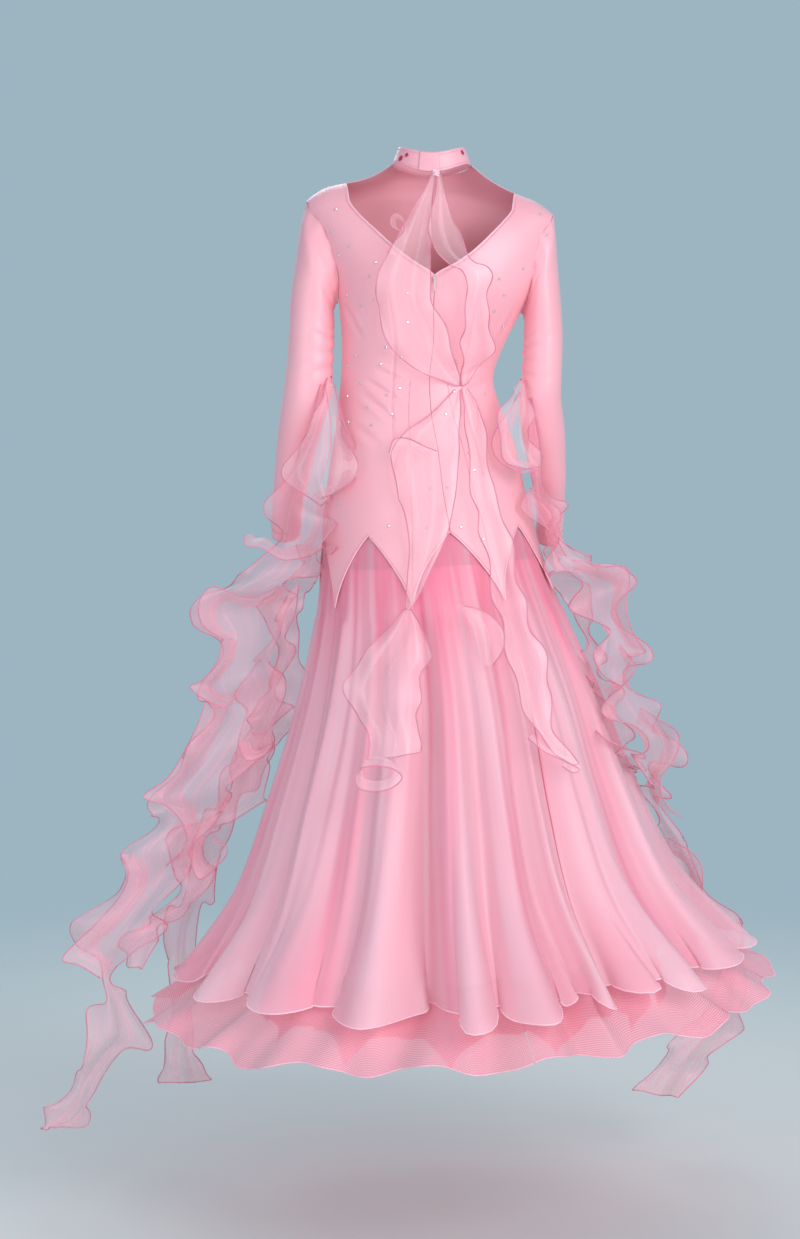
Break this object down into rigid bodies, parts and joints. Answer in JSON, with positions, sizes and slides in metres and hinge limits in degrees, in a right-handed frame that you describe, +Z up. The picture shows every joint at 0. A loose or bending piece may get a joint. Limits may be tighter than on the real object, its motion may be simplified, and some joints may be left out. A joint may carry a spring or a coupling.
{
  "type": "ballroom dance dress",
  "caption": "Long-sleeved ballroom dance dress with an open back, arched hip yoke, full layered skirt with a stiff hem and long organza floats, in its worn form.",
  "frame": {"origin": "midway between the wearer's shoulders, where the dress is held up", "axes": "+Z up, the front faces -Y and the back +Y, the wearer's left is +X"},
  "size_m": [1.1257, 0.8479, 1.5033],
  "materials": {
    "lycra": "light pink stretch satin with a soft sheen",
    "organza": "sheer pink organza with darker rolled edges",
    "braid": "sheer ribbed stiff braid",
    "tulle": "deeper pink tulle",
    "zip_metal": "pale pink lacquered metal"
  },
  "bodies": {
    "dress": {"bodice_back_left": "lycra", "bodice_back_right": "lycra", "bodice_front": "lycra", "sleeve_left": "lycra", "sleeve_right": "lycra", "collar": "lycra", "skirt_gore_1": "organza", "skirt_gore_2": "organza", "skirt_gore_3": "organza", "skirt_gore_4": "organza", "skirt_gore_5": "organza", "skirt_gore_6": "organza", "skirt_gore_7": "organza", "skirt_gore_8": "organza", "skirt_middle_left": "organza", "skirt_middle_right": "organza", "collar_float_left": "organza", "collar_float_right": "organza", "waist_float_left": "organza", "waist_float_right": "organza", "hip_float": "organza", "sleeve_float_left_upper": "organza", "sleeve_float_left_long": "organza", "sleeve_float_left_short": "organza", "sleeve_float_right_upper": "organza", "sleeve_float_right_long": "organza", "hem_braid_left": "braid", "hem_braid_right": "braid", "underskirt_left": "tulle", "underskirt_right": "tulle", "zip_slider": "zip_metal"},
    "zip_pull": {"zip_pull": "zip_metal"}
  },
  "joints": [
    {"name": "zip_pull_hinge", "type": "hinge", "parent": "dress", "child": "zip_pull", "pos_m": [-0.00543, 0.10556, -0.1395], "axis": [1, 0, 0], "range_deg": [0, 150]}
  ]
}
